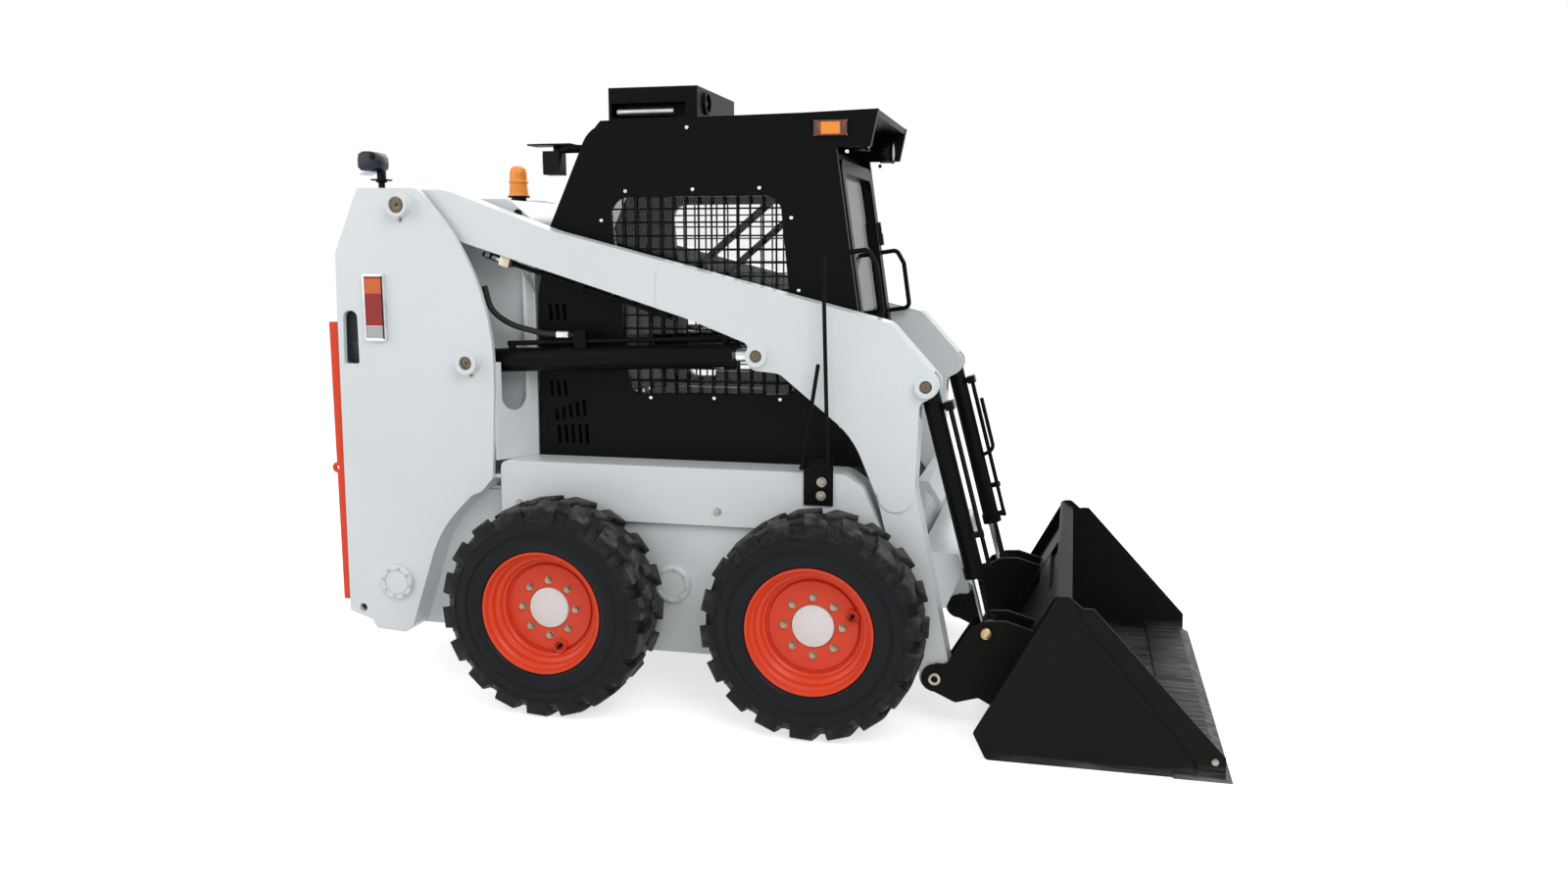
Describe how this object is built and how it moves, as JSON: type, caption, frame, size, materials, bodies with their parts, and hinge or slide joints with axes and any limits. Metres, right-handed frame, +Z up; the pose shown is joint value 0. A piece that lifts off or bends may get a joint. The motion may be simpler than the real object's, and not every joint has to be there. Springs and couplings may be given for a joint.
{
  "type": "skid steer loader",
  "caption": "Compact skid steer loader with an enclosed cab, lift arms raised by long cylinders, a quick coupler and a general purpose bucket.",
  "frame": {"origin": "on the floor, below the middle of the machine's overall length and width", "axes": "+X forward over the bucket, +Y to the driver's left, +Z up"},
  "size_m": [3.2869, 1.6, 2.242],
  "materials": {
    "white_paint": "satin paint",
    "black_paint": "semi-matt paint",
    "red_paint": "satin paint",
    "bucket_paint": "worn paint",
    "tyre_rubber": "matt rubber",
    "hose_rubber": "smooth rubber",
    "rod_chrome": "polished",
    "pin_steel": "zinc plated",
    "bare_aluminium": "brushed",
    "clear_glass": "clear",
    "amber_lens": "translucent amber",
    "lamp_black": "moulded",
    "tail_lens": "red, amber and clear lens",
    "seat_vinyl": "vinyl",
    "engine_iron": "painted casting"
  },
  "bodies": {
    "machine": {"chassis_frame": "white_paint", "entry_step": "white_paint", "fender_left": "white_paint", "fender_right": "white_paint", "tower_left": "white_paint", "tower_right": "white_paint", "hood": "white_paint", "engine_block": "engine_iron", "axle_housings": "white_paint", "pivot_pins": "pin_steel", "cab_side_left": "black_paint", "cab_side_right": "black_paint", "guard_upright_bars": "black_paint", "guard_level_bars": "black_paint", "cab_roof": "black_paint", "cab_rear_wall": "black_paint", "cab_glass": "clear_glass", "cab_front_frame": "black_paint", "cab_floor": "black_paint", "seat": "seat_vinyl", "controls": "black_paint", "roof_unit": "black_paint", "roof_unit_drier": "bare_aluminium", "beacon_base": "lamp_black", "beacon_lens": "amber_lens", "tail_lamps": "tail_lens", "marker_lamps": "amber_lens", "work_lamps": "lamp_black", "guide_rods": "black_paint", "grab_handles": "black_paint"},
    "lift_arms": {"lift_arm_left": "white_paint", "lift_arm_right": "white_paint", "arm_cross_member": "white_paint", "tilt_pins": "pin_steel", "arm_pipes": "black_paint"},
    "bucket_tool": {"quick_coupler": "bucket_paint", "bucket": "bucket_paint"},
    "cab_door": {"door_frame": "black_paint", "door_glass": "clear_glass"},
    "rear_door": {"tail_door": "red_paint"},
    "restraint_bar": {"seat_bar": "black_paint"},
    "wheel_front_left": {"tyre_front_left": "tyre_rubber", "rim_front_left": "red_paint"},
    "wheel_front_right": {"tyre_front_right": "tyre_rubber", "rim_front_right": "red_paint"},
    "wheel_rear_left": {"tyre_rear_left": "tyre_rubber", "rim_rear_left": "red_paint"},
    "wheel_rear_right": {"tyre_rear_right": "tyre_rubber", "rim_rear_right": "red_paint"},
    "lift_barrels": {"lift_barrel_left": "black_paint", "lift_barrel_right": "black_paint", "lift_hose_left": "hose_rubber", "lift_hose_right": "hose_rubber"},
    "lift_rods": {"lift_rod_left": "rod_chrome", "lift_rod_right": "rod_chrome"},
    "tilt_barrels": {"tilt_barrel_left": "black_paint", "tilt_barrel_right": "black_paint"},
    "tilt_rods": {"tilt_rod_left": "rod_chrome", "tilt_rod_right": "rod_chrome"}
  },
  "joints": [
    {"name": "wheel_front_left_spin", "type": "hinge", "parent": "machine", "child": "wheel_front_left", "pos_m": [0.2715, 0.668, 0.385], "axis": [0, 1, 0], "continuous": true},
    {"name": "wheel_front_right_spin", "type": "hinge", "parent": "machine", "child": "wheel_front_right", "pos_m": [0.2715, -0.668, 0.385], "axis": [0, 1, 0], "continuous": true},
    {"name": "wheel_rear_left_spin", "type": "hinge", "parent": "machine", "child": "wheel_rear_left", "pos_m": [-0.6925, 0.668, 0.385], "axis": [0, 1, 0], "continuous": true},
    {"name": "wheel_rear_right_spin", "type": "hinge", "parent": "machine", "child": "wheel_rear_right", "pos_m": [-0.6925, -0.668, 0.385], "axis": [0, 1, 0], "continuous": true},
    {"name": "arm_lift", "type": "hinge", "parent": "machine", "child": "lift_arms", "pos_m": [-1.2975, 0, 1.811], "axis": [0, -1, 0], "range_deg": [0, 62]},
    {"name": "bucket_tilt", "type": "hinge", "parent": "lift_arms", "child": "bucket_tool", "pos_m": [0.6685, 0, 0.17], "axis": [0, -1, 0], "range_deg": [-102, 25]},
    {"name": "lift_barrels_swing", "type": "hinge", "parent": "machine", "child": "lift_barrels", "pos_m": [-1.0475, 0, 1.243], "axis": [0, -1, 0], "range_deg": [0, 58.49]},
    {"name": "lift_rods_slide", "type": "slide", "parent": "lift_barrels", "child": "lift_rods", "axis": [0.9993, 0, 0.0381], "range_m": [0, 0.6338]},
    {"name": "tilt_barrels_swing", "type": "hinge", "parent": "lift_arms", "child": "tilt_barrels", "pos_m": [0.6205, 0, 1.191], "axis": [0, -1, 0], "range_deg": [-3.06, 0.75]},
    {"name": "tilt_rods_slide", "type": "slide", "parent": "tilt_barrels", "child": "tilt_rods", "axis": [0.2552, 0, -0.9669], "range_m": [-0.0903, 0.3685]},
    {"name": "cab_door_hinge", "type": "hinge", "parent": "machine", "child": "cab_door", "pos_m": [0.4395, 0.328, 0.905], "axis": [-0.1444, 0, 0.9895], "range_deg": [0, 85]},
    {"name": "tail_door_hinge", "type": "hinge", "parent": "machine", "child": "rear_door", "pos_m": [-1.6175, 0.541, 0.85], "axis": [0, 0, -1], "range_deg": [0, 100]},
    {"name": "seat_bar_swing", "type": "hinge", "parent": "machine", "child": "restraint_bar", "pos_m": [-0.3925, 0, 1.48], "axis": [0, 1, 0], "range_deg": [0, 72]}
  ],
  "couplings": [
    {"joint": "lift_barrels_swing", "follows": "arm_lift", "ratio": 0.94341},
    {"joint": "lift_rods_slide", "follows": "arm_lift", "m_per_rad": 0.58573},
    {"joint": "tilt_barrels_swing", "follows": "bucket_tilt", "ratio": 0.03},
    {"joint": "tilt_rods_slide", "follows": "bucket_tilt", "m_per_rad": -0.207}
  ]
}
